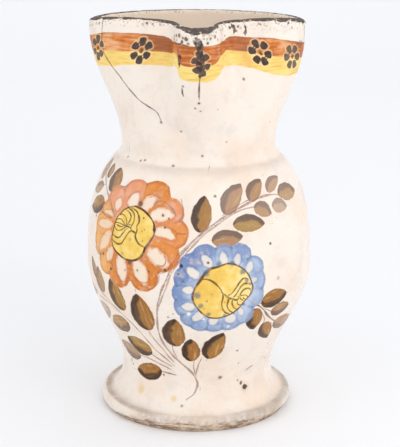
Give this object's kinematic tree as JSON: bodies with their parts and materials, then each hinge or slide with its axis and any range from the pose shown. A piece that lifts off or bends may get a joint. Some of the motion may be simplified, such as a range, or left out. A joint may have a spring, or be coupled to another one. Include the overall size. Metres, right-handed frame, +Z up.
{
  "type": "majolica jug",
  "caption": "Tin-glazed earthenware pouring jug with a round belly, waisted neck, pinched spout, strap handle and spreading foot, painted with flowers and leaves.",
  "frame": {"origin": "middle of the flat underside of the foot, on the surface that the jug stands on", "axes": "+Z up through the mouth, -Y towards the spout, +Y towards the handle"},
  "size_m": [0.1544, 0.2041, 0.2729],
  "materials": {
    "glaze": "cream tin glaze, satin to glossy, with painted decoration under it and bare worn clay at the rim and foot"
  },
  "bodies": {
    "root": {"jug": "glaze"}
  },
  "joints": []
}
